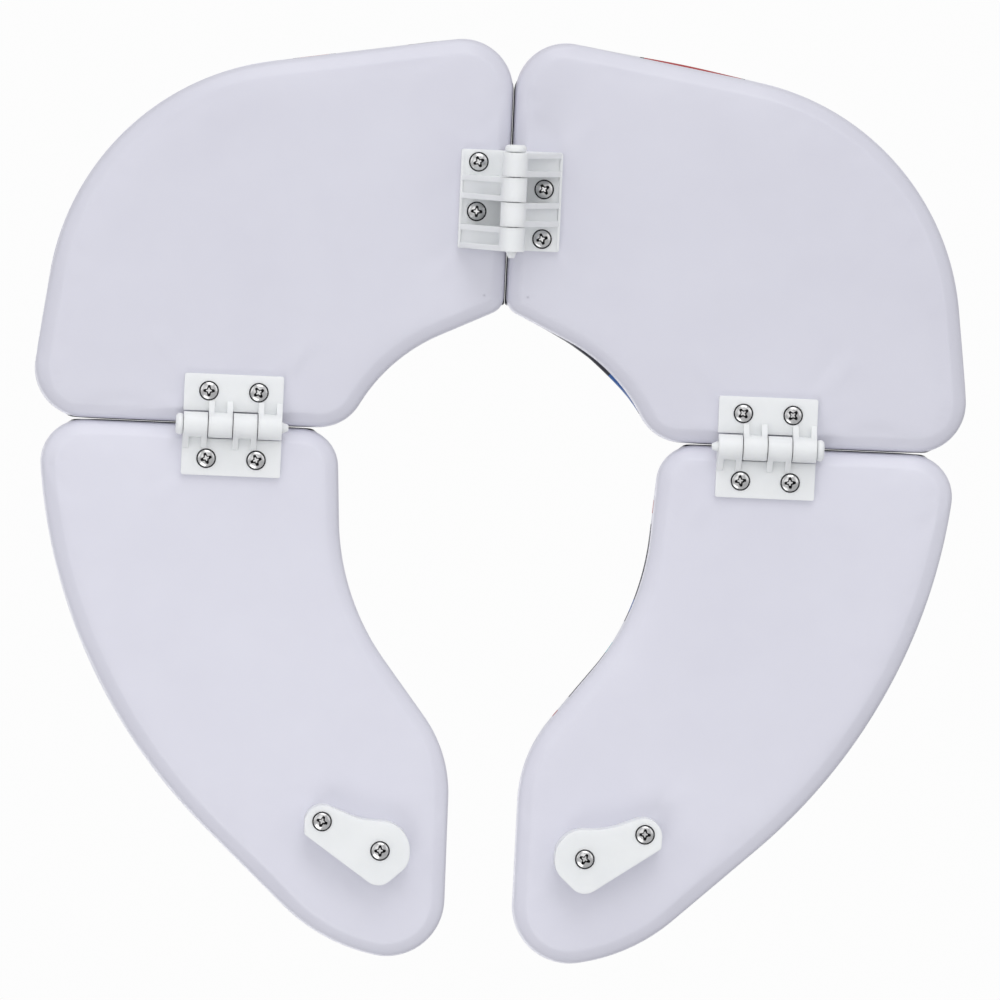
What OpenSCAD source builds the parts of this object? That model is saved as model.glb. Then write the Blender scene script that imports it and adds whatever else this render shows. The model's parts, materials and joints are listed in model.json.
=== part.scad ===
// Folding travel potty seat: four padded panels round an open hole, joined by three hinges on
// the underside. Sitting side up, tails towards -Y. Left and right are as seen from the tails.
// Lengths are millimetres. A panel is drawn with its underside at z = 0 and its fold line at
// y = 0, on the right (+X) side, and is mirrored for the left.

/* [Panels] */
// Thickness of a panel at the top of its crown
panel_t = 17; // [15:0.5:19]
// Height of the weld seam above the underside
seam_h = 6; // [5:0.5:7]
// Gap between neighbouring panels at a fold line
fold_gap = 1; // [0.8:0.1:1.4]
// Thickness of the vinyl covers
skin_t = 0.8; // [0.6:0.1:1]
// Thickness of the base boards
board_t = 5; // [4:0.5:5]

/* [Hinges] */
// Length of a hinge along its pin
hinge_l = 35.2; // [33:0.1:37]
// Width of an open hinge across its pin
hinge_w = 36; // [34:0.5:37]
// Thickness of the leaf plates
plate_t = 2.5; // [2:0.1:3]
// Radius of the knuckles
knuckle_r = 4.5; // [4:0.1:4.6]
// Radius of the pins
pin_r = 2; // [1.5:0.1:2.2]
// Height of a side hinge's pin below the underside
side_pin_h = 5.2; // [5:0.1:5.6]
// Distance of a side hinge's middle from the centre line
side_hinge_x = 95; // [92:0.5:98]
// Distance of the centre hinge's middle from the fold line of the legs
centre_hinge_y = 84; // [82:0.5:86]

/* [Lugs and screws] */
// Height of the guide lugs below the underside
lug_h = 11; // [9:0.5:11]
// Radius of the screw heads
head_r = 3.5; // [3:0.1:3.6]
// Radius of the screw shanks
shank_r = 1.7; // [1.5:0.1:1.8]

/* [Hidden] */
$fn = 48;

// Corners of the outlines, clockwise, as [x, y, radius]. y is measured from the fold line.
half_gap = fold_gap / 2;
rear_corners = [
    [half_gap, 143.5, 18],
    [153.5, 118.5, 91],
    [168, half_gap, 17.5],
    [55, half_gap, 16.5],
    [40.5, 26.5, 62],
    [half_gap, 45.5, 6.5]
];
leg_corners = [
    [164, -half_gap, 15],
    [154, -92.5, 201],
    [56, -182.5, 66],
    [12, -191.5, 20.5],
    [12.5, -113.5, 47],
    [54, -60, 88],
    [57.5, -half_gap, 13.5]
];
lug_corners = [
    [63.9, -129.8, 6.5],
    [63.4, -143.5, 1],
    [36.2, -162.2, 6],
    [25.8, -152.8, 8],
    [25.8, -137.9, 10.3],
    [43.5, -137.8, 25]
];
lug_screws = [[57.4, -138.7], [36.4, -148.3]];

// Profile of a panel's side as [inset from the outline, height], from the underside up
bottom_edge = [[5, 0], [2.6, 0.6], [0.9, 1.9], [0.1, 4]];
top_edge = [[0.1, 8.5], [1, 11.2], [3.4, 13.8], [7, 15.8], [12, panel_t]];
mid_edge = [0, seam_h];

step = 9;              // largest turn between two points of an arc, in degrees
end_r = 0.3;           // smallest radius that an inset corner keeps
recess = 0.2;          // how far the leaves and lugs press into the under cover
foot_inset = 0.1;      // a lug's foot is this much smaller than the lug
board_inset = 6;       // the board stops this far inside the outline
axial_gap = 0.35;      // gap between neighbouring knuckles
bore_gap = 0.05;       // radial clearance of a pin in the leaf that turns on it
swing_gap = 0.4;       // clearance round the other leaf's knuckles
pitch = hinge_l / 4;
knuckle_l = pitch - axial_gap;
rib_t = 2;             // thickness of the ribs that carry the knuckles
pocket_d = 7;          // depth of a centre leaf's pockets at the knuckle
rim_pocket_d = 1.2;    // and at the outer rim
rib_reach = 4;         // reach of a side hinge's ribs beyond its knuckles
rim_w = 0.9;           // raised rim along a centre leaf's outer edge
rim_h = 0.7;
plate_corner_r = 0.8;
side_screw_x = 8.85;   // screws from the middle of a side hinge, along its pin
side_screw_y = 12;     // and across it
centre_screw_x = 11.8; // screws from the centre hinge's pin
pin_head_r = 3.8;
pin_head_t = 2.6;
pin_tip_r = 1.1;
pin_tip_l = 2.2;
sink_h = 1.9;          // depth of a countersunk screw head
dome_h = 0.4;          // crown of a screw head
bite = 4.5;            // depth of a screw in its board
recess_w = 1.1;        // cross recess: width, length and depth
recess_l = 4.4;
recess_d = 1.5;
hole_gap = 0.05;       // radial clearance of a screw in the piece it holds down
eps = 0.01;

// The centre pin lies deep enough for a folded leg to fit between the halves
stack_gap = 0.5;
centre_pin_h = 2 * side_pin_h + panel_t + stack_gap;
seat_z = centre_pin_h + knuckle_r;
// The outlines reach from -186.85 to 140.32 along Y; the origin is half way
fold_y = 23.27;

function unit(v) = v / norm(v);
function inward(v) = [v.y, -v.x];
function flat2(p) = [p.x, p.y];
function before(i, n) = (i + n - 1) % n;
function after(i, n) = (i + 1) % n;

// Points of a clockwise outline whose sides lie d inside the corners' own
function outline(corners, d = 0) =
    let (n = len(corners))
    [for (i = [0 : n - 1])
        let (
            p = flat2(corners[i]),
            u = unit(p - flat2(corners[before(i, n)])),
            v = unit(flat2(corners[after(i, n)]) - p),
            turn = atan2(u.x * v.y - u.y * v.x, u * v),
            side = turn < 0 ? 1 : -1,
            r = max(corners[i][2] - side * d, end_r),
            q = p + (inward(u) + inward(v)) * d / (1 + u * v),
            start = q - u * r * tan(abs(turn) / 2),
            centre = start + inward(u) * side * r,
            count = ceil(abs(turn) / step)
        )
        for (k = [0 : count])
            let (a = turn * k / count, s = -inward(u) * side * r)
            centre + [s.x * cos(a) - s.y * sin(a), s.x * sin(a) + s.y * cos(a)]
    ];

// A closed solid through a list of rings, given as [inset, height]. With open ends it is
// capped at the first and the last ring; as a loop the last ring joins the first.
module loft(corners, rings, loop = false) {
    sides = [for (r = rings) outline(corners, r[0])];
    n = len(sides[0]);
    m = len(rings);
    points = [for (j = [0 : m - 1]) for (p = sides[j]) [p.x, p.y, rings[j][1]]];
    walls = [
        for (j = [0 : m - (loop ? 1 : 2)])
            for (i = [0 : n - 1])
                let (a = j * n, b = ((j + 1) % m) * n, k = (i + 1) % n)
                each [[a + i, b + i, b + k], [a + i, b + k, a + k]]
    ];
    first = [for (i = [0 : n - 1]) i];
    last = [for (i = [n - 1 : -1 : 0]) (m - 1) * n + i];
    polyhedron(points, loop ? walls : concat(walls, [first, last]), convexity = 6);
}

// The side profile one skin thickness inside the covers
function inner(p) = [
    p[0] + skin_t,
    min(max(p[1], skin_t), panel_t - skin_t)
];

module right_panel_place() {
    translate([0, fold_y, seat_z]) children();
}

module left_panel_place() {
    mirror([1, 0, 0]) right_panel_place() children();
}

module slab(corners, inset, low, high) {
    translate([0, 0, low]) linear_extrude(high - low) polygon(outline(corners, inset));
}

module drill(places, r, low, high) {
    for (p = places) translate([p[0], p[1], low]) cylinder(h = high - low, r = r);
}

// Places of the screws in each right panel
rear_holes = [
    for (s = [-1, 1]) [side_hinge_x + s * side_screw_x, side_screw_y],
    for (k = [-1.5, 0.5]) [centre_screw_x, centre_hinge_y - k * pitch]
];
rear_left_holes = [
    for (s = [-1, 1]) [side_hinge_x + s * side_screw_x, side_screw_y],
    for (k = [-0.5, 1.5]) [centre_screw_x, centre_hinge_y - k * pitch]
];
leg_holes = concat([for (s = [-1, 1]) [side_hinge_x + s * side_screw_x, -side_screw_y]],
                   lug_screws);

module base_board(corners, holes) {
    difference() {
        slab(corners, board_inset, skin_t, skin_t + board_t);
        drill(holes, shank_r, 0, skin_t + board_t + 1);
    }
}

module foam_pad(corners) {
    foam_rings = concat(
        [for (p = bottom_edge) inner(p)], [inner(mid_edge)], [for (p = top_edge) inner(p)]
    );
    difference() {
        loft(corners, foam_rings);
        slab(corners, board_inset, -1, skin_t + board_t);
    }
}

module top_cover(corners) {
    count = len(top_edge);
    inside = concat([for (i = [count - 1 : -1 : 0]) inner(top_edge[i])], [inner(mid_edge)]);
    loft(corners, concat(inside, [mid_edge], top_edge));
}

module under_cover(corners, holes) {
    count = len(bottom_edge);
    flat_inset = bottom_edge[0][0];
    outside = [for (i = [count - 1 : -1 : 0]) bottom_edge[i]];
    inside = concat([[flat_inset, skin_t]], [for (i = [1 : count - 1]) inner(bottom_edge[i])]);
    difference() {
        union() {
            slab(corners, flat_inset, 0, skin_t);
            loft(corners, concat(inside, [inner(mid_edge)], [mid_edge], outside), loop = true);
        }
        drill(holes, shank_r + hole_gap, -1, skin_t + 1);
        children();
    }
}

// Places that the hinge plates press into the under cover, with room for the pin's ends
module side_plate_recess(s) {
    length = hinge_l + 2 * (pin_head_t + 1);
    translate([side_hinge_x - hinge_l / 2, min(0, s * hinge_w / 2), -1])
        cube([hinge_l, hinge_w / 2, 1 + recess]);
    translate([side_hinge_x - length / 2, min(0, s * (pin_head_r + 1)), -1])
        cube([length, pin_head_r + 1, 1 + recess]);
}

module centre_plate_recess() {
    translate([0, centre_hinge_y - hinge_l / 2, -1])
        cube([hinge_w / 2, hinge_l, 1 + recess]);
}

module lug_recess() {
    slab(lug_corners, 0, -1, recess);
}

module rear_under_cover(holes) {
    under_cover(rear_corners, holes) {
        side_plate_recess(1);
        centre_plate_recess();
    }
}

module leg_under_cover() {
    under_cover(leg_corners, leg_holes) {
        side_plate_recess(-1);
        lug_recess();
    }
}

// A screw with its head's rim at z = 0 and its shank along +z
module screw(grip) {
    difference() {
        rotate_extrude() polygon([
            [0, -dome_h],
            [head_r * 0.5, -dome_h * 0.8],
            [head_r * 0.85, -dome_h * 0.35],
            [head_r, 0],
            [shank_r, sink_h],
            [shank_r, grip + bite - 1],
            [0.4, grip + bite],
            [0, grip + bite]
        ]);
        for (a = [0, 90])
            rotate([0, 0, a])
                translate([-recess_l / 2, -recess_w / 2, -dome_h - 1])
                    cube([recess_l, recess_w, 1 + recess_d]);
    }
}

module screws(places, height) {
    for (p = places) translate([p[0], p[1], -height]) screw(height + skin_t);
}

// The holes that the screws need in a piece whose outer face lies height below the underside
module screw_holes(places, height) {
    for (p = places) translate([p[0], p[1], -height]) {
        translate([0, 0, -1]) cylinder(h = height + 2, r = shank_r + hole_gap);
        cylinder(h = sink_h, r1 = head_r + hole_gap, r2 = shank_r + hole_gap);
        translate([0, 0, -1]) cylinder(h = 1 + eps, r = head_r + hole_gap);
    }
}

// One leaf of a side hinge, its pin along X and its plate towards +Y
module side_leaf(bore_r) {
    screw_places = [for (s = [-1, 1]) [s * side_screw_x, side_screw_y]];
    plate_corners = [
        [-hinge_l / 2, hinge_w / 2, plate_corner_r],
        [hinge_l / 2, hinge_w / 2, plate_corner_r],
        [hinge_l / 2, half_gap, end_r],
        [-hinge_l / 2, half_gap, end_r]
    ];
    own = [0.5, -1.5];
    other = [1.5, -0.5];
    difference() {
        union() {
            slab(plate_corners, 0, -plate_t, recess);
            for (k = own) translate([k * pitch, 0, -side_pin_h]) {
                rotate([0, 90, 0]) cylinder(h = knuckle_l, r = knuckle_r, center = true);
                translate([-knuckle_l / 2, half_gap, 0])
                    cube([knuckle_l, knuckle_r - half_gap, side_pin_h - plate_t + eps]);
                for (s = [-1, 1])
                    translate([s * (knuckle_l - rib_t) / 2 - rib_t / 2, 0, 0]) side_rib();
            }
        }
        for (k = other)
            translate([k * pitch - pitch / 2 - axial_gap / 2, -1, -side_pin_h])
                cube([pitch + axial_gap, knuckle_r + swing_gap + 1, side_pin_h + 1]);
        translate([-hinge_l, 0, -side_pin_h])
            rotate([0, 90, 0]) cylinder(h = 2 * hinge_l, r = bore_r);
        screw_holes(screw_places, plate_t);
    }
}

// A rib from the knuckle down to the plate, drawn in the YZ plane from the pin's axis
module side_rib() {
    rotate([90, 0, 90]) linear_extrude(rib_t) polygon([
        [half_gap, 0],
        [half_gap + 1, -knuckle_r + 1],
        [knuckle_r * 0.75, -knuckle_r * 0.62],
        [knuckle_r + rib_reach, side_pin_h - plate_t - 0.6],
        [knuckle_r + rib_reach, side_pin_h - plate_t + eps],
        [half_gap, side_pin_h - plate_t + eps]
    ]);
}

// One leaf of the centre hinge, its pin along Y and its plate towards -X
module centre_leaf(bore_r) {
    screw_places = [for (k = [0.5, -1.5]) [-centre_screw_x, k * pitch]];
    plate_corners = [
        [-hinge_w / 2, hinge_l / 2, plate_corner_r],
        [-half_gap, hinge_l / 2, end_r],
        [-half_gap, -hinge_l / 2, end_r],
        [-hinge_w / 2, -hinge_l / 2, plate_corner_r]
    ];
    own = [1.5, -0.5];
    difference() {
        union() {
            slab(plate_corners, 0, -plate_t, recess);
            translate([-hinge_w / 2, -hinge_l / 2 + plate_corner_r, -plate_t - rim_h])
                cube([rim_w, hinge_l - 2 * plate_corner_r, rim_h + eps]);
            for (k = own) translate([0, k * pitch, -centre_pin_h]) {
                rotate([90, 0, 0]) cylinder(h = knuckle_l, r = knuckle_r, center = true);
                translate([-knuckle_r, -knuckle_l / 2, 0])
                    cube([knuckle_r - half_gap, knuckle_l, centre_pin_h - plate_t + eps]);
                translate([0, knuckle_l / 2, 0])
                    centre_web(knuckle_l, pocket_d, rim_pocket_d);
                for (s = [-1, 1])
                    translate([0, s * (knuckle_l - rib_t) / 2 + rib_t / 2, 0])
                        centre_web(rib_t);
            }
        }
        translate([0, hinge_l, -centre_pin_h])
            rotate([90, 0, 0]) cylinder(h = 2 * hinge_l, r = bore_r);
        screw_holes(screw_places, plate_t);
    }
}

// A sloping web of thickness t from the knuckle to the plate's rim, drawn in the XZ plane from
// the pin's axis. Its face can be sunk below the ribs' edges at the knuckle and at the rim.
module centre_web(t, sunk = 0, rim_sunk = 0) {
    foot = centre_pin_h - plate_t;
    rim_x = -hinge_w / 2 + rim_w / 2;
    rotate([90, 0, 0]) linear_extrude(t) polygon([
        [-half_gap, sunk],
        [-knuckle_r * 0.8, -knuckle_r * 0.6 + sunk],
        [rim_x, foot - rim_h + rim_sunk],
        [rim_x, foot + 1],
        [-half_gap, foot + 1]
    ]);
}

// A pin along +X whose head sits at the hinge's +X end
module pin() {
    reach = hinge_l / 2;
    rotate([0, 90, 0]) rotate_extrude() polygon([
        [0, -reach - pin_tip_l],
        [pin_tip_r, -reach - pin_tip_l],
        [pin_r, -reach],
        [pin_r, reach],
        [pin_head_r - 0.5, reach],
        [pin_head_r, reach + 0.5],
        [pin_head_r, reach + pin_head_t - 0.8],
        [pin_head_r - 0.8, reach + pin_head_t],
        [0, reach + pin_head_t]
    ]);
}

module guide_lug() {
    difference() {
        union() {
            slab(lug_corners, 0, -lug_h, 0);
            slab(lug_corners, foot_inset, -eps, recess);
        }
        screw_holes(lug_screws, lug_h);
    }
}

module side_hinge_place(side) {
    translate([side * side_hinge_x, fold_y, seat_z]) children();
}

module centre_hinge_place() {
    translate([0, fold_y + centre_hinge_y, seat_z]) children();
}

board_colour = "BurlyWood";
foam_colour = "LightYellow";
print_colour = "LightSteelBlue";
vinyl_colour = [0.86, 0.87, 0.92];
plastic_colour = "WhiteSmoke";
steel_colour = "Silver";

module rear_left_base_board() {
    color(board_colour) left_panel_place() base_board(rear_corners, rear_left_holes);
}
module rear_right_base_board() {
    color(board_colour) right_panel_place() base_board(rear_corners, rear_holes);
}
module leg_left_base_board() {
    color(board_colour) left_panel_place() base_board(leg_corners, leg_holes);
}
module leg_right_base_board() {
    color(board_colour) right_panel_place() base_board(leg_corners, leg_holes);
}
module rear_left_foam_pad() {
    color(foam_colour) left_panel_place() foam_pad(rear_corners);
}
module rear_right_foam_pad() {
    color(foam_colour) right_panel_place() foam_pad(rear_corners);
}
module leg_left_foam_pad() {
    color(foam_colour) left_panel_place() foam_pad(leg_corners);
}
module leg_right_foam_pad() {
    color(foam_colour) right_panel_place() foam_pad(leg_corners);
}
module rear_left_top_cover() {
    color(print_colour) left_panel_place() top_cover(rear_corners);
}
module rear_right_top_cover() {
    color(print_colour) right_panel_place() top_cover(rear_corners);
}
module leg_left_top_cover() {
    color(print_colour) left_panel_place() top_cover(leg_corners);
}
module leg_right_top_cover() {
    color(print_colour) right_panel_place() top_cover(leg_corners);
}
module rear_left_under_cover() {
    color(vinyl_colour) left_panel_place() rear_under_cover(rear_left_holes);
}
module rear_right_under_cover() {
    color(vinyl_colour) right_panel_place() rear_under_cover(rear_holes);
}
module leg_left_under_cover() {
    color(vinyl_colour) left_panel_place() leg_under_cover();
}
module leg_right_under_cover() {
    color(vinyl_colour) right_panel_place() leg_under_cover();
}

module centre_hinge_left_leaf() {
    color(plastic_colour) centre_hinge_place() centre_leaf(pin_r);
}
module centre_hinge_right_leaf() {
    color(plastic_colour)
        centre_hinge_place() rotate([0, 0, 180]) centre_leaf(pin_r + bore_gap);
}
module centre_hinge_pin() {
    color(plastic_colour)
        centre_hinge_place() translate([0, 0, -centre_pin_h]) rotate([0, 0, 90]) pin();
}
module left_hinge_rear_leaf() {
    color(plastic_colour) side_hinge_place(-1) side_leaf(pin_r);
}
module left_hinge_leg_leaf() {
    color(plastic_colour)
        side_hinge_place(-1) rotate([0, 0, 180]) side_leaf(pin_r + bore_gap);
}
module left_hinge_pin() {
    color(plastic_colour)
        side_hinge_place(-1) translate([0, 0, -side_pin_h]) rotate([0, 0, 180]) pin();
}
module right_hinge_rear_leaf() {
    color(plastic_colour) side_hinge_place(1) side_leaf(pin_r);
}
module right_hinge_leg_leaf() {
    color(plastic_colour)
        side_hinge_place(1) rotate([0, 0, 180]) side_leaf(pin_r + bore_gap);
}
module right_hinge_pin() {
    color(plastic_colour) side_hinge_place(1) translate([0, 0, -side_pin_h]) pin();
}

module left_guide_lug() {
    color(plastic_colour) left_panel_place() guide_lug();
}
module right_guide_lug() {
    color(plastic_colour) right_panel_place() guide_lug();
}

module centre_hinge_left_screws() {
    color(steel_colour)
        left_panel_place() screws([for (i = [2, 3]) rear_left_holes[i]], plate_t);
}
module centre_hinge_right_screws() {
    color(steel_colour)
        right_panel_place() screws([for (i = [2, 3]) rear_holes[i]], plate_t);
}
module left_hinge_rear_screws() {
    color(steel_colour)
        left_panel_place() screws([for (i = [0, 1]) rear_left_holes[i]], plate_t);
}
module right_hinge_rear_screws() {
    color(steel_colour)
        right_panel_place() screws([for (i = [0, 1]) rear_holes[i]], plate_t);
}
module left_hinge_leg_screws() {
    color(steel_colour) left_panel_place() screws([for (i = [0, 1]) leg_holes[i]], plate_t);
}
module right_hinge_leg_screws() {
    color(steel_colour) right_panel_place() screws([for (i = [0, 1]) leg_holes[i]], plate_t);
}
module left_lug_screws() {
    color(steel_colour) left_panel_place() screws(lug_screws, lug_h);
}
module right_lug_screws() {
    color(steel_colour) right_panel_place() screws(lug_screws, lug_h);
}

rear_left_base_board();
rear_left_foam_pad();
rear_left_top_cover();
rear_left_under_cover();
rear_right_base_board();
rear_right_foam_pad();
rear_right_top_cover();
rear_right_under_cover();
leg_left_base_board();
leg_left_foam_pad();
leg_left_top_cover();
leg_left_under_cover();
leg_right_base_board();
leg_right_foam_pad();
leg_right_top_cover();
leg_right_under_cover();
centre_hinge_left_leaf();
centre_hinge_right_leaf();
centre_hinge_pin();
left_hinge_rear_leaf();
left_hinge_leg_leaf();
left_hinge_pin();
right_hinge_rear_leaf();
right_hinge_leg_leaf();
right_hinge_pin();
left_guide_lug();
right_guide_lug();
centre_hinge_left_screws();
centre_hinge_right_screws();
left_hinge_rear_screws();
left_hinge_leg_screws();
right_hinge_rear_screws();
right_hinge_leg_screws();
left_lug_screws();
right_lug_screws();
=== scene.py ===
"""Folding travel potty seat, seen from its underside.

Lengths in the tables and profiles are millimetres; MM turns them into metres.
"""
import json
import math
import random

import bmesh
import bpy
import numpy as np
from mathutils import Matrix, Vector, noise
from mathutils.geometry import delaunay_2d_cdt


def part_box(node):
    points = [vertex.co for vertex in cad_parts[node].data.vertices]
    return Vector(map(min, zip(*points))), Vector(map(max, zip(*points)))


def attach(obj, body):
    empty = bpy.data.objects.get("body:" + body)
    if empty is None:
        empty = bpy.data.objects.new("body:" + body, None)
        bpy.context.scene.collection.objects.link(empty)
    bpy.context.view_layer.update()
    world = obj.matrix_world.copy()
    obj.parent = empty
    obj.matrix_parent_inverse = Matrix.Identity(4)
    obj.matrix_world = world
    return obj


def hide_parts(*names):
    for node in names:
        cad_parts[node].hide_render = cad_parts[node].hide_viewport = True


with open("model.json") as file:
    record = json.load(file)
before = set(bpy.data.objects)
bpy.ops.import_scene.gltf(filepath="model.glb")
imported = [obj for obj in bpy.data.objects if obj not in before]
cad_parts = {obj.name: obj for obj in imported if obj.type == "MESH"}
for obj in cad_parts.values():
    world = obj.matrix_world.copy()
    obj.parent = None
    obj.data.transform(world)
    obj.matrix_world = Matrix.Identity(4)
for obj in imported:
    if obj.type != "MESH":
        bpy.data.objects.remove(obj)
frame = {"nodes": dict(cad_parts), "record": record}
scene = bpy.context.scene
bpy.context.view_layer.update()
NODES = frame["nodes"]
MM = 0.001

# ---------------------------------------------------------------- sizes

# Outlines as the CAD source has them: [x, y, radius], clockwise, on the right side, with y
# measured from the fold line. Heights in a panel are measured from its underside.
REAR = [
    [0.5, 143.5, 18], [153.5, 118.5, 91], [168, 0.5, 17.5],
    [55, 0.5, 16.5], [40.5, 26.5, 62], [0.5, 45.5, 6.5],
]
LEG = [
    [164, -0.5, 15], [154, -92.5, 201], [56, -182.5, 66], [12, -191.5, 20.5],
    [12.5, -113.5, 47], [54, -60, 88], [57.5, -0.5, 13.5],
]
LUG = [
    [63.9, -129.8, 6.5], [63.4, -143.5, 1], [36.2, -162.2, 6],
    [25.8, -152.8, 8], [25.8, -137.9, 10.3], [43.5, -137.8, 25],
]
FOLD_Y = 23.27          # the fold line between rear panels and legs, in the frame
SEAT_Z = 32.4           # the panels' undersides, in the frame
SEAM_H = 6.0            # the weld seam
PANEL_T = 17.0
PLATE_T = 2.5           # hinge plates
LUG_H = 11.0
SIDE_HINGE_X = 95.0
CENTRE_HINGE_Y = 84.0   # from the fold line
HINGE_L = 35.2          # along the pin
HINGE_W = 36.0          # across it
SKIN_T = 0.8

SPACING = 2.6           # between points round a panel
BEAD_SPACING = 1.4
GRID = 3.4              # between points inside a panel's flat faces
GRID_ROW = 0.866        # between that grid's rows, as a share of GRID
GRID_CLEAR = 0.62       # how far it keeps from the border, as a share of GRID
ARC_STEP = 9            # degrees
EDGE = 1.2              # how near a point is to a fold or a plate to count as on it
# Side profiles of the two vinyl halves, from the seam inwards: [inset, height]
UNDER = [[0.0, 6.0], [0.02, 5.2], [0.15, 4.2], [0.55, 3.1], [1.4, 2.15], [2.6, 1.3], [3.8, 0.55],
         [4.7, 0.08], [5.3, 0.0], [7.0, 0.0]]
UPPER = [[0.0, 6.0], [0.05, 7.0], [0.1, 8.4], [0.5, 10.0], [1.4, 11.6], [3.2, 13.1], [6.4, 14.2],
         [11.5, 15.0]]
HALVES = {"under": UNDER, "upper": UPPER}
# How much of a place's bulge each ring of the upper profile takes
BULGE_SHARE = [0, 0.8, 1, 0.85, 0.4, 0.1, 0, 0]
CENTRE_SHARE = [0, 0.3, 1, 1, 0.5, 0.1, 0, 0]   # the same along the centre seam
CENTRE_PRESS = 0.7      # how much further the pads press there than they need to touch
TOP_LIMIT = 17.4
FOLD_LIMIT = 0.04       # how near a pad comes to the plane between it and its neighbour
CROWN, CROWN_REACH = 0.6, 9

# The simulation that blows the pads up, and the most that it may move them
FRAMES = 20
CLOTH = {
    "quality": 6, "mass": 0.3, "use_pressure": True, "uniform_pressure_force": 4.0,
    "tension_stiffness": 14, "compression_stiffness": 14, "shear_stiffness": 6,
    "bending_stiffness": 1.2,
}
UNDER_CAP, UPPER_CAP, SIDE_CAP, FOLD_CAP = 0.35, 1.7, 0.12, 0.3
FOLD_REACH = 4


def inward(v):
    """The direction square to v, towards the inside of a clockwise outline."""
    return np.array([v[1], -v[0]])


def ring(corners, inset, spacing=SPACING):
    """Points of a clockwise outline, moved inwards by inset. The count doesn't depend on inset."""
    n = len(corners)

    def arc(i, d):
        p = np.array(corners[i][:2], float)
        u = p - np.array(corners[i - 1][:2], float)
        v = np.array(corners[(i + 1) % n][:2], float) - p
        u, v = u / np.linalg.norm(u), v / np.linalg.norm(v)
        turn = math.atan2(u[0] * v[1] - u[1] * v[0], u @ v)
        side = 1 if turn < 0 else -1
        r = max(corners[i][2] - side * d, 0.3)
        q = p + (inward(u) + inward(v)) * d / (1 + u @ v)
        start = q - u * r * math.tan(abs(turn) / 2)
        centre = start + inward(u) * side * r
        spoke = -inward(u) * side * r
        return turn, r, centre, spoke

    def on_arc(a, share):
        turn, _, centre, spoke = a
        c, s = math.cos(turn * share), math.sin(turn * share)
        return centre + np.array([spoke[0] * c - spoke[1] * s, spoke[0] * s + spoke[1] * c])

    points = []
    for i in range(n):
        base, base_next = arc(i, 0), arc((i + 1) % n, 0)
        a, b = arc(i, inset), arc((i + 1) % n, inset)
        turn, radius = abs(base[0]), base[1]
        count = max(math.ceil(math.degrees(turn) / ARC_STEP), math.ceil(turn * radius / spacing))
        points += [on_arc(a, k / count) for k in range(count + 1)]
        gap = np.linalg.norm(on_arc(base_next, 0) - on_arc(base, 1))
        parts = max(1, math.ceil(gap / spacing))
        p, q = on_arc(a, 1), on_arc(b, 0)
        points += [p + (q - p) * k / parts for k in range(1, parts)]
    return np.array(points)


def within(points, polygon):
    """Which points lie inside a polygon."""
    x, y = points[:, 0], points[:, 1]
    inside = np.zeros(len(points), bool)
    for (x0, y0), (x1, y1) in zip(polygon, np.roll(polygon, -1, axis=0)):
        crosses = (y0 > y) != (y1 > y)
        if abs(y1 - y0) > 1e-12:
            inside ^= crosses & (x < (x1 - x0) * (y - y0) / (y1 - y0) + x0)
    return inside


def distance_to(points, polygon):
    """Distance of each point from a polygon's sides."""
    best = np.full(len(points), 1e9)
    for a, b in zip(polygon, np.roll(polygon, -1, axis=0)):
        d = b - a
        if d @ d < 1e-12:
            continue
        t = np.clip((points - a) @ d / (d @ d), 0, 1)
        best = np.minimum(best, np.linalg.norm(points - a - t[:, None] * d, axis=1))
    return best


def filled(border):
    """A flat triangle mesh inside a closed border: the extra points and the faces. Indices below
    len(border) are the border's own."""
    lo, hi = border.min(0), border.max(0)
    rows = []
    y, odd = lo[1], False
    while y < hi[1]:
        xs = np.arange(lo[0] + (GRID / 2 if odd else 0), hi[0], GRID)
        rows.append(np.column_stack([xs, np.full(len(xs), y)]))
        y, odd = y + GRID * GRID_ROW, not odd
    inner = np.vstack(rows)
    keep = within(inner, border) & (distance_to(inner, border) > GRID * GRID_CLEAR)
    inner = inner[keep]
    every = np.vstack([border, inner])
    n = len(border)
    found = delaunay_2d_cdt([Vector(p) for p in every], [], [list(range(n))[::-1]], 1, 1e-7)
    verts = np.array([list(v) for v in found[0]])
    source = [o[0] if o else -1 for o in found[3]]
    if len(verts) != len(every) or sorted(source) != list(range(len(every))):
        raise RuntimeError("the fill moved or merged points")
    faces = [[source[i] for i in f] for f in found[2]]
    return inner, faces


def new_object(name, verts, faces, smooth=True):
    """A mesh object in the scene."""
    mesh = bpy.data.meshes.new(name)
    mesh.from_pydata([tuple(v) for v in verts], [], [tuple(f) for f in faces])
    mesh.update()
    if smooth:
        smooth_faces(mesh)
    return link_mesh(name, mesh)


def link_mesh(name, mesh):
    """An object for a finished mesh."""
    obj = bpy.data.objects.new(name, mesh)
    scene.collection.objects.link(obj)
    return obj


def smooth_faces(mesh):
    mesh.polygons.foreach_set("use_smooth", [True] * len(mesh.polygons))


def face_outwards(mesh):
    bm = bmesh.new()
    bm.from_mesh(mesh)
    bmesh.ops.recalc_face_normals(bm, faces=bm.faces)
    bm.to_mesh(mesh)
    bm.free()


def object_from(name, bm):
    """A smooth mesh object made from a bmesh, which is freed."""
    mesh = bpy.data.meshes.new(name)
    bm.to_mesh(mesh)
    bm.free()
    smooth_faces(mesh)
    return link_mesh(name, mesh)


def apply_modifiers(obj):
    """Replaces obj's mesh by its mesh with all modifiers applied."""
    bpy.context.view_layer.update()
    dg = bpy.context.evaluated_depsgraph_get()
    mesh = bpy.data.meshes.new_from_object(obj.evaluated_get(dg))
    obj.modifiers.clear()
    old = obj.data
    obj.data = mesh
    bpy.data.meshes.remove(old)


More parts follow.
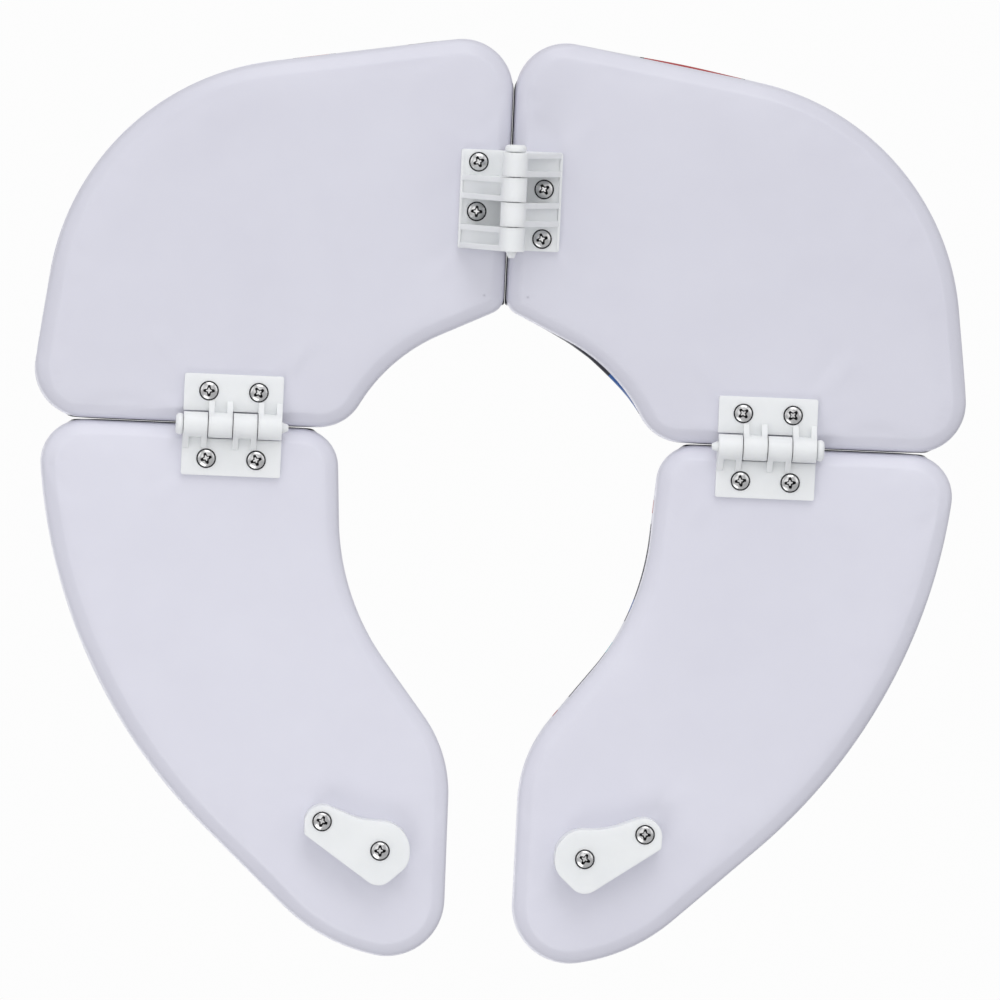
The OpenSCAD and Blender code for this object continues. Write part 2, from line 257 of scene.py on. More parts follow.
def subdivide(obj):
    sub = obj.modifiers.new("Smooth", "SUBSURF")
    sub.levels = sub.render_levels = 1


def break_edges(obj, width, angle, harden=False):
    """Bevels the edges sharper than angle, in degrees."""
    bevel = obj.modifiers.new("Edges", "BEVEL")
    bevel.width = width * MM
    bevel.segments = 2
    bevel.limit_method = "ANGLE"
    bevel.angle_limit = math.radians(angle)
    bevel.harden_normals = harden
    bevel.use_clamp_overlap = True
    apply_modifiers(obj)


# ---------------------------------------------------------------- panels

def side_plate(sign):
    """Rectangle of a side hinge's plate on a rear (+1) or leg (-1) panel."""
    x0, x1 = SIDE_HINGE_X - HINGE_L / 2, SIDE_HINGE_X + HINGE_L / 2
    y = sorted([0, sign * HINGE_W / 2])
    return np.array([[x0, y[0]], [x0, y[1]], [x1, y[1]], [x1, y[0]]], float)


CENTRE_PLATE = np.array([
    [0, CENTRE_HINGE_Y - HINGE_L / 2], [0, CENTRE_HINGE_Y + HINGE_L / 2],
    [HINGE_W / 2, CENTRE_HINGE_Y + HINGE_L / 2], [HINGE_W / 2, CENTRE_HINGE_Y - HINGE_L / 2],
], float)
LUG_FOOT = ring(LUG, 0, 3.0)
KINDS = {
    "rear": {"corners": REAR, "pressed": [side_plate(1), CENTRE_PLATE]},
    "leg": {"corners": LEG, "pressed": [side_plate(-1), LUG_FOOT]},
}
# Creases in the vinyl at the plates' corners: [x, y, direction in degrees, length, height]
CREASES = {
    "rear": [
        [77.4, 18.0, 122, 17, 0.42], [112.6, 18.0, 52, 20, 0.5],
        [18.0, 66.4, -62, 15, 0.5], [18.0, 101.6, 48, 16, 0.34],
        [112.6, 6.0, 8, 12, 0.3], [77.4, 6.0, 172, 12, 0.3],
    ],
    "leg": [
        [77.4, -18.0, -128, 13, 0.34], [112.6, -18.0, -50, 15, 0.42],
        [112.6, -6.0, -6, 12, 0.3], [77.4, -6.0, 186, 11, 0.3],
        [64.5, -128.0, 30, 10, 0.26], [24.0, -160.0, 220, 9, 0.22],
    ],
}

# Places where a cushion swells out over its weld seam: [x, y, reach, by how much]
BULGES = {
    "rear_left": [[62, 135, 18, 0.8], [35, 25, 16, 1.6], [140, 80, 40, 0.2]],
    "rear_right": [[120, 90, 40, 0.15]],
    "leg_left": [[56, -45, 30, 0.6], [30, -92, 30, 0.45]],
    "leg_right": [[40, -80, 30, 0.15]],
}


def bulge(body, p):
    """How far a cushion's side stands out over its seam at a point of the outline."""
    if body.startswith("rear") and p[0] < EDGE:
        return max(p[0] - FOLD_LIMIT + CENTRE_PRESS, 0)
    if abs(p[1]) < EDGE:
        return max(abs(p[1]) - FOLD_LIMIT, 0)
    return max(most * math.exp(-((p[0] - x) ** 2 + (p[1] - y) ** 2) / reach ** 2)
               for x, y, reach, most in BULGES[body])


def panel_mesh(body):
    """Starting points, the faces of the under and upper halves, and the seam's points."""
    kind = body.split("_")[0]
    corners = KINDS[kind]["corners"]
    outer = ring(corners, 0)
    n = len(outer)
    away = ring(corners, -1) - ring(corners, 0)
    away /= np.linalg.norm(away, axis=1)[:, None]
    swell = away * np.array([bulge(body, p) for p in outer])[:, None]
    centre = (outer[:, 0] < EDGE)[:, None] & (kind == "rear")
    points, groups = [], {}
    for key, profile in HALVES.items():
        rings = []
        for k, (inset, z) in enumerate(profile):
            if key == "upper" and k == 0:
                rings.append(groups["under"][0])
                continue
            flat = ring(corners, inset)
            if key == "upper":
                flat = flat + swell * np.where(centre, CENTRE_SHARE[k], BULGE_SHARE[k])
            first = len(points)
            points += [[p[0], p[1], z] for p in flat]
            rings.append(list(range(first, first + n)))
        groups[key] = rings
    faces = {}
    for key, profile in HALVES.items():
        rings = groups[key]
        quads = []
        for a, b in zip(rings, rings[1:]):
            for i in range(n):
                j = (i + 1) % n
                quad = [a[i], a[j], b[j], b[i]]
                quads.append(quad if key == "under" else quad[::-1])
        border = ring(corners, profile[-1][0])
        inner, tris = filled(border)
        first = len(points)
        rise = 0 if key == "under" else CROWN
        deep = distance_to(inner, border)
        points += [[p[0], p[1], profile[-1][1] + rise * (1 - math.exp(-d / CROWN_REACH))]
                   for p, d in zip(inner, deep)]
        last = rings[-1]
        for f in tris:
            f = [last[i] if i < n else first + i - n for i in f]
            a, b, c = (np.array(points[i][:2]) for i in f)
            up = (b[0] - a[0]) * (c[1] - a[1]) - (b[1] - a[1]) * (c[0] - a[0]) > 0
            quads.append(f if up == (key == "upper") else f[::-1])
        faces[key] = quads
    return np.array(points), faces, groups["under"][0]


def swollen(name, points, faces, seam, kind, side):
    """The panel's points after the pad has been blown up against its weld seam and its plates."""
    flat = points[:, :2]
    under = points[:, 2] < SEAM_H - 0.01
    pressed = np.zeros(len(points), bool)
    for shape in KINDS[kind]["pressed"]:
        pressed |= under & (within(flat, shape) | (distance_to(flat, shape) < EDGE))
    pinned = pressed.copy()
    pinned[seam] = True
    start = points * MM
    start[:, 0] *= side
    body = [f if side > 0 else f[::-1] for key in HALVES for f in faces[key]]
    obj = new_object(name + "_sim", start, body)
    group = obj.vertex_groups.new(name="held")
    group.add([int(i) for i in np.nonzero(pinned)[0]], 1.0, "REPLACE")
    cloth = obj.modifiers.new("Cloth", "CLOTH")
    cloth.settings.vertex_group_mass = "held"
    for key, value in CLOTH.items():
        setattr(cloth.settings, key, value)
    cloth.settings.effector_weights.gravity = 0
    cloth.collision_settings.use_collision = False
    cloth.collision_settings.use_self_collision = False
    for f in range(1, FRAMES + 1):
        scene.frame_set(f)
    mesh = obj.evaluated_get(bpy.context.evaluated_depsgraph_get()).to_mesh()
    co = np.zeros(len(mesh.vertices) * 3)
    mesh.vertices.foreach_get("co", co)
    co = co.reshape(-1, 3) / MM
    co[:, 0] *= side
    bpy.data.objects.remove(obj)
    scene.frame_set(1)
    moved = co - points
    length = np.linalg.norm(moved, axis=1)
    cap = np.where(under, UNDER_CAP, UPPER_CAP)
    # the side walls swell less than the crown, and so does a pad along the fold lines, where
    # neighbours almost touch
    near_fold = np.minimum(np.abs(points[:, 1]), np.where(points[:, 1] > 0, points[:, 0], 99))
    rise = np.clip((points[:, 2] - SEAM_H) / (PANEL_T - 3 - SEAM_H), 0, 1)
    cap = np.where(under, cap, SIDE_CAP + (cap - SIDE_CAP) * rise ** 1.5)
    cap = np.where(near_fold < FOLD_REACH, np.minimum(cap, FOLD_CAP), cap)
    scale = np.where(length > 1e-9, cap * np.tanh(length / cap) / np.maximum(length, 1e-9), 0)
    moved *= scale[:, None]
    moved[pinned] = 0
    if kind == "rear":   # the centre seam stays closed
        moved[flat[:, 0] < EDGE, 0] = 0
    return points + moved


def held_back(points, kind):
    """Keeps the side walls on their own side of the fold planes, and the crown under its limit."""
    out = points.copy()
    out[:, 2] = np.minimum(out[:, 2], TOP_LIMIT)
    if kind == "leg":
        out[:, 1] = np.minimum(out[:, 1], -FOLD_LIMIT)
    else:
        out[:, 0] = np.maximum(out[:, 0], FOLD_LIMIT)
        out[:, 1] = np.maximum(out[:, 1], FOLD_LIMIT)
    return out


# Slow waves in the vinyl: reach, the seed's shift and height
WAVES = {"under": [(30, 7, 0.2), (11, 17, 0.05)], "upper": [(23, 0, 0.22)]}


def ripple(x, y, reach, seed):
    return noise.noise(Vector((x / reach, y / reach, seed)))


def wave(half, x, y, seed):
    return sum(ripple(x, y, reach, seed + shift) * high for reach, shift, high in WAVES[half])


def crease(x, y, x0, y0, angle, long, high):
    """One crease's height at a point: a ridge that widens and bends, with a groove beside it."""
    ux, uy = math.cos(math.radians(angle)), math.sin(math.radians(angle))
    along = (x - x0) * ux + (y - y0) * uy
    if not -1 < along < long:
        return 0.0
    across = -(x - x0) * uy + (y - y0) * ux - 0.04 * along * along / long
    width = 1.3 + 1.6 * along / long
    fade = math.sin(math.pi * min(1, max(0, (along + 1) / (long + 1)))) ** 0.6
    ridge = math.exp(-(across / width) ** 2)
    groove = math.exp(-((across - 1.9 * width) / (1.3 * width)) ** 2)
    return high * fade * (ridge - 0.55 * groove)


def creased(points, kind, seed):
    """Slow waves in the vinyl, and creases at the corners of the plates.

    Both fade out towards the outline and the plates.
    """
    out = points.copy()
    flat = points[:, :2]
    edge = distance_to(flat, ring(KINDS[kind]["corners"], 0))
    clear = np.full(len(points), 99.0)   # distance from the plates
    for shape in KINDS[kind]["pressed"]:
        d = distance_to(flat, shape)
        d[within(flat, shape)] = 0
        clear = np.minimum(clear, d)
    for i, (x, y, z) in enumerate(points):
        if z > SEAM_H - 0.5:
            out[i, 2] += wave("upper", x, y, seed) * min(1, edge[i] / 12)
            continue
        free = min(1, clear[i] / 9) * min(1, edge[i] / 6)
        lift = sum(crease(x, y, *row) for row in CREASES[kind])
        lift *= min(1, clear[i] / 1.5) * min(1, edge[i] / 4)
        out[i, 2] -= wave("under", x, y, seed) * free + lift
    return out


def to_frame(points, side):
    """Panel coordinates in millimetres to frame coordinates in metres."""
    p = np.array(points, float)
    return np.column_stack([p[:, 0] * side, p[:, 1] + FOLD_Y, p[:, 2] + SEAT_Z]) * MM


def shell(name, points, faces, side):
    """One vinyl half as a skin of real thickness."""
    used = sorted({i for f in faces for i in f})
    index = {v: k for k, v in enumerate(used)}
    verts = to_frame(points[used], side)
    faces = [[index[i] for i in f] for f in faces]
    if side < 0:
        faces = [f[::-1] for f in faces]
    obj = new_object(name, verts, faces)
    subdivide(obj)
    skin = obj.modifiers.new("Skin", "SOLIDIFY")
    skin.thickness = SKIN_T * MM
    skin.offset = -1
    apply_modifiers(obj)
    smooth_faces(obj.data)
    return obj


def tube(name, path, profile):
    """A closed loop swept round path: path has a frame (point, outward, up) at each step."""
    n, m = len(path), len(profile)
    verts = [p + o * a + u * b for p, o, u in path for a, b in profile]
    faces = []
    for i in range(n):
        a, b = i * m, (i + 1) % n * m
        faces += [[a + j, a + (j + 1) % m, b + (j + 1) % m, b + j] for j in range(m)]
    obj = new_object(name, verts, faces)
    face_outwards(obj.data)
    return obj


BEAD = [[0.28, 0.0], [0.22, 0.2], [0.05, 0.3], [-0.4, 0.32], [-0.4, -0.32], [0.05, -0.3],
        [0.22, -0.2]]
BEAD_OUT, BEAD_IN = -0.2, 0.15   # the bead's line is the second, and it faces the first


def weld_bead(name, kind, side, seed):
    """The narrow welded lip where the two vinyl halves meet."""
    corners = KINDS[kind]["corners"]
    base, out = ring(corners, BEAD_IN, BEAD_SPACING), ring(corners, BEAD_OUT, BEAD_SPACING)
    path = []
    for p, q in zip(base, out):
        o = (q - p) / np.linalg.norm(q - p)
        wobble = ripple(p[0], p[1], 9, seed) * 0.05
        point = np.array([p[0] * side, p[1] + FOLD_Y, SEAM_H + SEAT_Z + wobble]) * MM
        path.append((point, np.array([o[0] * side, o[1], 0]), np.array([0, 0, 1.0])))
    obj = tube(name, path, [[a * MM, b * MM] for a, b in BEAD])
    subdivide(obj)
    apply_modifiers(obj)
    return obj


# ---------------------------------------------------------------- materials

class Shader:
    """A material with one Principled shader, and short ways to add nodes to it."""

    def __init__(self, name):
        self.material = bpy.data.materials.new(name)
        self.material.use_nodes = True
        self.tree = self.material.node_tree
        self.tree.nodes.clear()
        self.out = self.node("ShaderNodeOutputMaterial")
        self.bsdf = self.node("ShaderNodeBsdfPrincipled")
        self.join(self.bsdf, "BSDF", self.out, "Surface")

    def node(self, kind, **settings):
        made = self.tree.nodes.new(kind)
        for key, value in settings.items():
            if hasattr(made, key):
                setattr(made, key, value)
            else:
                made.inputs[key.replace("_", " ")].default_value = value
        return made

    def join(self, a, out, b, into):
        self.tree.links.new(a.outputs[out], b.inputs[into])

    def coords(self):
        return self.node("ShaderNodeTexCoord"), "Object"

    def noise(self, scale, detail=3.0, roughness=0.55):
        n = self.node("ShaderNodeTexNoise")
        n.inputs["Scale"].default_value = scale
        n.inputs["Detail"].default_value = detail
        n.inputs["Roughness"].default_value = roughness
        c, o = self.coords()
        self.join(c, o, n, "Vector")
        return n

    def ramp(self, source, out, stops, constant=False):
        """Colours by position: stops is [(position, colour)]."""
        r = self.node("ShaderNodeValToRGB")
        if constant:
            r.color_ramp.interpolation = "CONSTANT"
        e = r.color_ramp.elements
        while len(e) > 1:
            e.remove(e[-1])
        e[0].position, e[0].color = stops[0][0], (*stops[0][1], 1)
        for pos, colour in stops[1:]:
            x = e.new(pos)
            x.color = (*colour, 1)
        self.join(source, out, r, "Fac")
        return r

    def math(self, op, a, b=0.0):
        """a and b are numbers or (node, output)."""
        m = self.node("ShaderNodeMath")
        m.operation = op
        for k, value in enumerate((a, b)):
            if isinstance(value, tuple):
                self.tree.links.new(value[0].outputs[value[1]], m.inputs[k])
            else:
                m.inputs[k].default_value = value
        return m

    def mix(self, factor, a, b):
        """Colours a and b, or (node, output) for any of the three."""
        m = self.node("ShaderNodeMix")
        m.data_type = "RGBA"
        for value, k in ((factor, 0), (a, 6), (b, 7)):
            if isinstance(value, tuple) and isinstance(value[0], bpy.types.Node):
                self.tree.links.new(value[0].outputs[value[1]], m.inputs[k])
            else:
                m.inputs[k].default_value = value if k == 0 else (*value, 1)
        return m

    def bump(self, heights):
        """Chains bump nodes: heights is [(node, output, strength, distance in mm)]."""
        last = None
        for source, out, strength, distance in heights:
            b = self.node("ShaderNodeBump")
            b.inputs["Strength"].default_value = strength
            b.inputs["Distance"].default_value = distance * MM
            self.join(source, out, b, "Height")
            if last:
                self.join(last, "Normal", b, "Normal")
            last = b
        self.join(last, "Normal", self.bsdf, "Normal")

    def set(self, **values):
        for key, value in values.items():
            self.bsdf.inputs[key.replace("_", " ")].default_value = value


def vinyl_grain(s):
    """Fine leather grain, in cells a little under a millimetre, and a slower unevenness."""
    c, o = s.coords()
    cells = s.node("ShaderNodeTexVoronoi", feature="DISTANCE_TO_EDGE")
    cells.inputs["Scale"].default_value = 1300
    s.join(c, o, cells, "Vector")
    fine = s.noise(2600, 2)
    slow = s.noise(45, 2)
    s.bump([(slow, "Fac", 0.25, 0.35), (cells, "Distance", 0.05, 0.12), (fine, "Fac", 0.04, 0.05)])


VINYL_TONES = (0.700, 0.696, 0.782), (0.734, 0.732, 0.816)


def white_vinyl(name, shade_scale):
    """Bluish white vinyl with its tone scaled by the second argument; the rear panels' darker copy
    is painted shade.
    """
    s = Shader(name)
    cloudy = s.noise(16, 4, 0.6)
    dark, light = (tuple(c * shade_scale for c in tone) for tone in VINYL_TONES)
    r = s.ramp(cloudy, "Fac", [(0.3, dark), (0.7, light)])
    s.join(r, "Color", s.bsdf, "Base Color")
    rough = s.ramp(s.noise(120, 2), "Fac", [(0.3, (0.30,) * 3), (0.7, (0.38,) * 3)])
    s.join(rough, "Color", s.bsdf, "Roughness")
    s.set(Specular_IOR_Level=0.5, Sheen_Weight=0.04, Sheen_Roughness=0.5)
    vinyl_grain(s)
    return s.material


RED, BLUE = (0.40, 0.022, 0.02), (0.014, 0.09, 0.32)
YELLOW, TEAL = (0.86, 0.55, 0.03), (0.03, 0.42, 0.45)
INK = (0.013, 0.014, 0.026)
# Large discs of the print, in frame coordinates: x, y, radius and colour
DISCS = [
    [-62, 150, 19, RED], [-45, 43, 9.5, BLUE], [-24, 58, 17, INK], [-57, -20, 13, INK],
    [-36, -61, 9, INK], [70, 60, 16, BLUE], [112, 130, 14, YELLOW],
]
DISC_LINE = 1.3
# painted shade: ink on the walls this near a fold plane stands in for the shade in the gap
FOLD_WALL_SHADE = 0.9              # the walls this near a fold plane are dark
# Smaller discs, one to a cell: cells to a metre, then the largest and smallest radius and the
# line's width as shares of a cell, and the colours
LAYERS = [
    (58.0, 0.16, 0.10, 0.0, [(0.0, YELLOW), (0.4, TEAL), (0.7, RED)]),
    (25.0, 0.25, 0.17, 0.045, [(0.0, RED), (0.34, BLUE), (0.62, YELLOW), (0.84, RED)]),
]
LAYER_SHIFT = (0.013, 0.006, 0)
PALE, PALER = (0.70, 0.72, 0.76), (0.77, 0.78, 0.80)


def printed_vinyl():
    """Pale ground with outlined discs of several sizes and colours."""
    s = Shader("printed_vinyl")
    c, o = s.coords()
    level = s.node("ShaderNodeMapping")
    level.inputs["Scale"].default_value = (1, 1, 0)
    s.join(c, o, level, "Vector")
    flat = s.node("ShaderNodeMapping")
    flat.inputs["Location"].default_value = LAYER_SHIFT
    s.join(level, "Vector", flat, "Vector")
    ground = s.ramp(s.noise(14, 3), "Fac", [(0.35, PALE), (0.65, PALER)])
    last = (ground, "Color")
    for scale, big, small, line, palette in LAYERS:
        cell = s.node("ShaderNodeTexVoronoi")
        cell.voronoi_dimensions = "2D"
        cell.inputs["Scale"].default_value = scale
        cell.inputs["Randomness"].default_value = 0.55
        s.join(flat, "Vector", cell, "Vector")
        split = s.node("ShaderNodeSeparateColor")
        s.join(cell, "Color", split, "Color")
        size = s.math("MULTIPLY_ADD", (split, "Green"), big - small)
        size.inputs[2].default_value = small
        colour = s.ramp(split, "Red", palette, constant=True)
        inside = s.math("LESS_THAN", (cell, "Distance"), (size, "Value"))
        if line:
            outer = s.math("ADD", (size, "Value"), line)
            rim = s.math("LESS_THAN", (cell, "Distance"), (outer, "Value"))
            last = (s.mix((rim, "Value"), last, INK), 2)
        last = (s.mix((inside, "Value"), last, (colour, "Color")), 2)
    for x, y, radius, colour in DISCS:
        away = s.node("ShaderNodeVectorMath", operation="DISTANCE")
        away.inputs[1].default_value = (x * MM, y * MM, 0)
        s.join(level, "Vector", away, 0)
        for reach, tone in ((radius + DISC_LINE, INK), (radius, colour)):
            inside = s.math("LESS_THAN", (away, "Value"), reach * MM)
            last = (s.mix((inside, "Value"), last, tone), 2)
    # painted shade: the walls that face each other across the folds are painted ink, standing in
    # for the shade in the gaps
    place = s.node("ShaderNodeSeparateXYZ")
    s.join(level, "Vector", place, "Vector")
    for axis, fold in (("X", 0), ("Y", FOLD_Y)):
        off = s.math("ABSOLUTE", (s.math("SUBTRACT", (place, axis), fold * MM), "Value"))
        near = s.math("LESS_THAN", (off, "Value"), FOLD_WALL_SHADE * MM)
        last = (s.mix((near, "Value"), last, INK), 2)
    s.join(*last, s.bsdf, "Base Color")
    s.set(Roughness=0.42, Specular_IOR_Level=0.4, Coat_Weight=0.15, Coat_Roughness=0.3)
    vinyl_grain(s)
    return s.material


def white_plastic():
    """Matt white moulded plastic that lets a little light through."""
    s = Shader("white_plastic")
    tone = s.noise(60, 3)
    r = s.ramp(tone, "Fac", [(0.35, (0.825, 0.842, 0.85)), (0.65, (0.86, 0.875, 0.88))])
    s.join(r, "Color", s.bsdf, "Base Color")
    rough = s.ramp(s.noise(400, 2), "Fac", [(0.35, (0.34,) * 3), (0.65, (0.42,) * 3)])
    s.join(rough, "Color", s.bsdf, "Roughness")
    s.set(Specular_IOR_Level=0.45, Subsurface_Weight=0.5, Subsurface_Scale=0.003,
          Subsurface_Radius=(1.0, 1.0, 0.95))
    s.bump([(s.noise(180, 2), "Fac", 0.10, 0.10), (s.noise(2400, 2), "Fac", 0.05, 0.03)])
    return s.material


def steel(name, colour, rough):
    """Metal of that colour and roughness, both a little uneven."""
    s = Shader(name)
    r = s.ramp(s.noise(900, 3), "Fac", [(0.3, tuple(x * 0.86 for x in colour)), (0.7, colour)])
    s.join(r, "Color", s.bsdf, "Base Color")
    k = s.ramp(s.noise(700, 3), "Fac", [(0.3, (rough * 0.8,) * 3), (0.7, (rough * 1.3,) * 3)])
    s.join(k, "Color", s.bsdf, "Roughness")
    s.set(Metallic=1.0)
    s.bump([(s.noise(1500, 2), "Fac", 0.08, 0.03)])
    return s.material


def board():
    """Pressed wood, for the hidden boards."""
    s = Shader("pressed_board")
    c, o = s.coords()
    stretch = s.node("ShaderNodeMapping")
    stretch.inputs["Scale"].default_value = (30, 300, 300)
    s.join(c, o, stretch, "Vector")
    n = s.node("ShaderNodeTexNoise")
    n.inputs["Scale"].default_value = 1.6
    n.inputs["Detail"].default_value = 5
    s.join(stretch, "Vector", n, "Vector")
    r = s.ramp(n, "Fac", [(0.3, (0.42, 0.27, 0.13)), (0.7, (0.58, 0.41, 0.23))])
    s.join(r, "Color", s.bsdf, "Base Color")
    s.set(Roughness=0.8, Specular_IOR_Level=0.2)
    s.bump([(n, "Fac", 0.4, 0.2)])
    return s.material


# the rear panels' vinyl is a darker copy of the legs': painted shade
VINYL = {
    "rear": white_vinyl("white_vinyl_rear_painted_shade", 0.955),
    "leg": white_vinyl("white_vinyl_leg", 1.0),
}
PRINT, PLASTIC = printed_vinyl(), white_plastic()
CHROME = steel("screw_steel", (0.66, 0.66, 0.66), 0.2)
# near-black steel as painted shade, on the cross's walls and the ring round each screw head
PAINTED_SHADE_STEEL = steel("screw_painted_shade", (0.05, 0.05, 0.055), 0.5)
BOARD = board()


def dress(obj, *materials):
    obj.data.materials.clear()
    for m in materials:
        obj.data.materials.append(m)


# ---------------------------------------------------------------- pieces

SEEDS = {"rear_right": 3.1, "rear_left": 8.4, "leg_right": 12.7, "leg_left": 21.9}
SIDES = ((1, "right"), (-1, "left"))


def make_panels():
    """Each panel: a plain under skin, a printed cushion, and the weld bead between them."""
    for kind in ("rear", "leg"):
        for side, word in SIDES:
            body = f"{kind}_{word}"
            seed = SEEDS[body]
            points, faces, seam = panel_mesh(body)
            points = swollen(body, points, faces, seam, kind, side)
            points = held_back(creased(points, kind, seed), kind)
            under = shell(f"{body}_under_vinyl", points, faces["under"], side)
            upper = shell(f"{body}_printed_cushion", points, faces["upper"], side)
            bead = weld_bead(f"{body}_weld_bead", kind, side, seed)
            for piece, slot, material in ((under, "white_vinyl", VINYL[kind]),
                                          (upper, "printed_vinyl", PRINT),
                                          (bead, "white_vinyl", VINYL[kind])):
                dress(piece, material)
                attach(piece, body)
            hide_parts(f"{body}_under_cover")
            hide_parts(f"{body}_top_cover", f"{body}_foam_pad")


MERGE_DIST, NO_AREA_DIST = 2e-6, 1e-7                # metres
FLAT_ANGLE, SHARP_ANGLE, BREAK_ANGLE = 1.0, 28, 32   # degrees
EDGE_BREAK, LUG_EDGE_BREAK = 0.28, 0.5


def moulded(node, name, body, width):
    """A CAD node's own shape with its edges broken, as a moulding has them."""
    data = NODES[node].data
    bm = bmesh.new()
    verts = [bm.verts.new(v.co) for v in data.vertices]
    bm.verts.ensure_lookup_table()
    for p in data.polygons:
        try:
            bm.faces.new([verts[i] for i in p.vertices])
        except ValueError:
            pass
    bmesh.ops.remove_doubles(bm, verts=bm.verts, dist=MERGE_DIST)
    bm.normal_update()
    # a level face may have screw holes through it, so it keeps its triangles
    level = {e for e in bm.edges
             if e.link_faces and all(abs(f.normal.z) > 0.999 for f in e.link_faces)}
    bmesh.ops.dissolve_limit(bm, angle_limit=math.radians(FLAT_ANGLE), verts=bm.verts,
                             edges=[e for e in bm.edges if e not in level])
    obj = object_from(name, bm)
    obj.data.set_sharp_from_angle(angle=math.radians(SHARP_ANGLE))
    break_edges(obj, width, BREAK_ANGLE, harden=True)
    # broken edges that met left faces of no area
    bm = bmesh.new()
    bm.from_mesh(obj.data)
    bmesh.ops.dissolve_degenerate(bm, dist=NO_AREA_DIST, edges=bm.edges)
    bm.to_mesh(obj.data)
    bm.free()
    dress(obj, PLASTIC)
    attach(obj, body)
    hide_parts(node)
    return obj


# Half of a screw's outline, from the top of its head down, as [radius, z]
SCREW = [[0, -0.62], [0.9, -0.58], [1.8, -0.47], [2.5, -0.31], [2.9, -0.16], [3.02, -0.04],
         [3.06, 0.12], [3.16, 0.14], [3.38, -0.02], [3.5, 0.02], [3.46, 0.12], [1.75, 1.85],
         [1.6, 3.0]]
SCREW_SIDES = 40
# painted shade: faces outside this radius, the groove and the rim, get near-black steel, standing
# in for the shadow and dark reflection round each head
PAINTED_SHADE_FROM = 3.03   # the groove and the rim outside this radius are dark
# One arm of the cross, and how wide and at what z the recess starts and ends
ARM = [(0.82, -0.82), (2.1, -0.56), (2.38, -0.36), (2.38, 0.36), (2.1, 0.56)]
MOUTH, BOTTOM = (1.06, -1.2), (0.42, 1.25)


def screw_mesh():
    """A domed cross-head screw, head upwards along -Z, its rim at z = 0."""
    count = SCREW_SIDES
    verts = [(0, 0, SCREW[0][1])]
    for r, z in SCREW[1:]:
        verts += [(r * math.cos(2 * math.pi * k / count), r * math.sin(2 * math.pi * k / count), z)
                  for k in range(count)]
    verts.append((0, 0, SCREW[-1][1]))
    faces = [[0, 1 + (k + 1) % count, 1 + k] for k in range(count)]
    for j in range(len(SCREW) - 2):
        a, b = 1 + j * count, 1 + (j + 1) * count
        faces += [[a + k, a + (k + 1) % count, b + (k + 1) % count, b + k] for k in range(count)]
    a, end = 1 + (len(SCREW) - 2) * count, len(verts) - 1
    faces += [[a + k, a + (k + 1) % count, end] for k in range(count)]
    head = new_object("head", [Vector(v) * MM for v in verts], faces)
    face_outwards(head.data)
    dress(head, CHROME, PAINTED_SHADE_STEEL)
    # painted shade on the head's rim and groove
    for p in head.data.polygons:
        reach = max(math.hypot(*head.data.vertices[i].co[:2]) for i in p.vertices)
        p.material_index = int(reach > PAINTED_SHADE_FROM * MM)

    outer = []
    for k in range(4):
        c, s = math.cos(math.pi / 2 * k), math.sin(math.pi / 2 * k)
        outer += [(u * c - v * s, u * s + v * c) for u, v in ARM]
    n = len(outer)
    verts = [Vector((x * share, y * share, z)) * MM
             for share, z in (MOUTH, BOTTOM) for x, y in outer]
    faces = [list(range(n)), list(range(2 * n - 1, n - 1, -1))]
    faces += [[i, i + n, (i + 1) % n + n, (i + 1) % n] for i in range(n)]
    cutter = new_object("cross", verts, faces, smooth=False)
    face_outwards(cutter.data)
    dress(cutter, CHROME, PAINTED_SHADE_STEEL)
    # painted shade: dark walls round a bright floor, the near-black steel standing in for shade in
    # the cross
    cutter.data.polygons.foreach_set("material_index", [0, 0] + [1] * n)
    cut = head.modifiers.new("Cross", "BOOLEAN")
    cut.object = cutter
    cut.operation = "DIFFERENCE"
    cut.solver = "EXACT"
    apply_modifiers(head)
    head.data.set_sharp_from_angle(angle=math.radians(30))
    break_edges(head, 0.07, 35)
    bpy.data.objects.remove(cutter)
    mesh = head.data
    bpy.data.objects.remove(head)
    return mesh


# Where the screws are, on the right side: from a side hinge's middle, from the frame's middle and
# the fold line, and from the centre seam
SIDE_SCREW = (8.85, 12)
LUG_SCREWS = [(57.4, -138.7), (36.4, -148.3)]
CENTRE_SCREW_X = 11.8
TIP = 0.7   # degrees that a screw may be out of true


